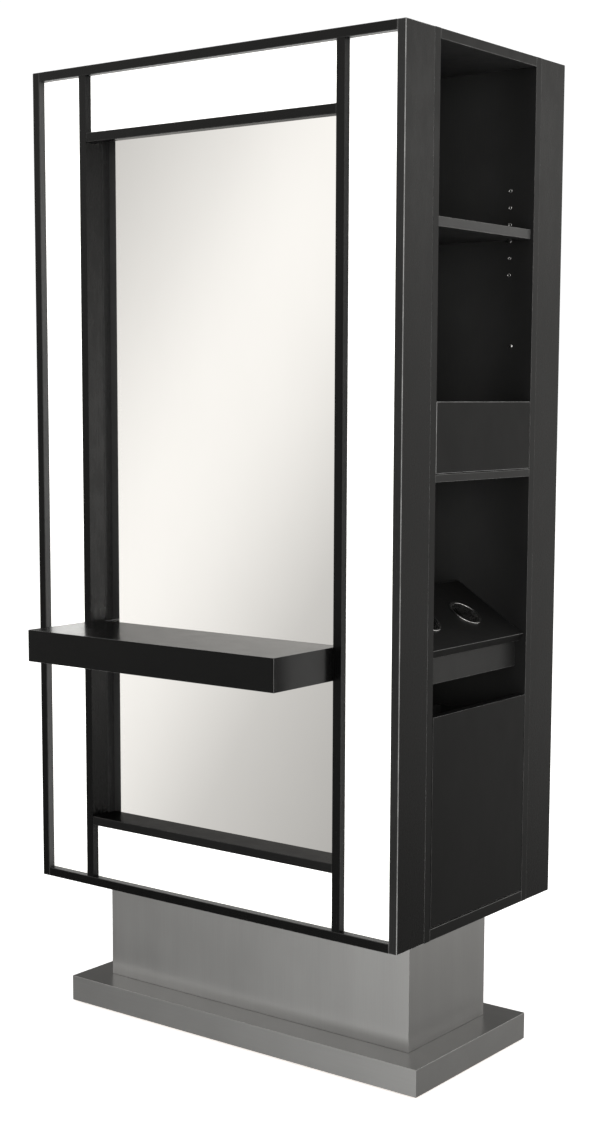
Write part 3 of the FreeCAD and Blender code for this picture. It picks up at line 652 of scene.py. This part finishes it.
# Soft lamps in the studio: direction, strength, outer and inner angle. The key lamp is in
# the mirror's room too.
LAMPS = [
    ((-0.25, -0.93, -0.27), 2.0, 20, 8),
    ((-0.56, -0.70, 0.44), 1.4, 12, 5),
]
KEY_DIRECTION, KEY_STRENGTH, KEY_ANGLES = (0.69, -0.724, -0.03), 6.0, (10, 5)
BACKDROP_STRENGTH = 1.05


def studio_sky():
    """A studio for the boards and the steel, a plain sunlit room for the mirror, and a white
    backdrop for the camera."""
    sky = Sky("studio")
    ray = sky.add("ShaderNodeLightPath").outputs
    room = sky.ramp(sky.along(ROOM_AXIS), ROOM_STOPS)
    turn = sky.span(
        sky.along(STUDIO_AXIS), low=STUDIO_DIM, high=STUDIO_BRIGHT,
        start=-STUDIO_REACH, end=STUDIO_REACH, curve="LINEAR")
    studio = sky.multiplied(sky.ramp(sky.along(UP), STUDIO_STOPS), turn)
    for direction, share, outer, inner in SCREENS:
        studio = sky.shaded(studio, share, sky.within(direction, outer, inner))
    for direction, strength, outer, inner in LAMPS:
        studio = sky.lamp_at(studio, strength, sky.within(direction, outer, inner))
    surround = sky.blend(ray["Is Singular Ray"], studio, room)
    surround = sky.lamp_at(surround, KEY_STRENGTH, sky.within(KEY_DIRECTION, *KEY_ANGLES))
    lighting = sky.add("ShaderNodeBackground", {"Color": surround})
    backdrop = sky.add("ShaderNodeBackground", {"Color": grey(1.0), "Strength": BACKDROP_STRENGTH})
    choice = sky.add("ShaderNodeMixShader", {
        "Fac": ray["Is Camera Ray"], 1: lighting.outputs[0], 2: backdrop.outputs[0],
    })
    sky.add("ShaderNodeOutputWorld", {"Surface": choice.outputs[0]})


def soft_box(name, place, target, size, watts):
    """A large square area light at place, aimed at target."""
    data = bpy.data.lights.new(name, "AREA")
    data.shape = "SQUARE"
    data.size = size
    data.energy = watts
    lamp = bpy.data.objects.new(name, data)
    bpy.context.scene.collection.objects.link(lamp)
    lamp.location = place
    lamp.rotation_euler = (Vector(target) - Vector(place)).to_track_quat("-Z", "Y").to_euler()
    return lamp


studio_sky()
overhead = soft_box("overhead", place=(0.3, -0.4, 4.2), target=(0, 0, 0), size=3.2, watts=115)
overhead.visible_glossy = False


# ---------------------------------------------------------------- camera
CAMERA_PLACE = (2.2004, -2.8666, 1.3007)
AZIMUTH, ELEVATION, ROLL = math.radians(37.41), math.radians(6.83), math.radians(0.19)
forward = Vector((
    -math.sin(AZIMUTH) * math.cos(ELEVATION),
    math.cos(AZIMUTH) * math.cos(ELEVATION),
    -math.sin(ELEVATION),
))
level = Vector((math.cos(AZIMUTH), math.sin(AZIMUTH), 0))
right = level * math.cos(ROLL) + level.cross(forward) * math.sin(ROLL)
lens = bpy.data.cameras.new("camera")
lens.sensor_width = 36
lens.lens = 56.35
lens.shift_x = 0.0034
lens.shift_y = 0.0355
camera = bpy.data.objects.new("camera", lens)
bpy.context.scene.collection.objects.link(camera)
axes = Matrix((right, right.cross(forward), -forward)).transposed().to_4x4()
camera.matrix_world = Matrix.Translation(CAMERA_PLACE) @ axes
bpy.context.scene.camera = camera
bpy.context.scene.view_settings.view_transform = "Standard"
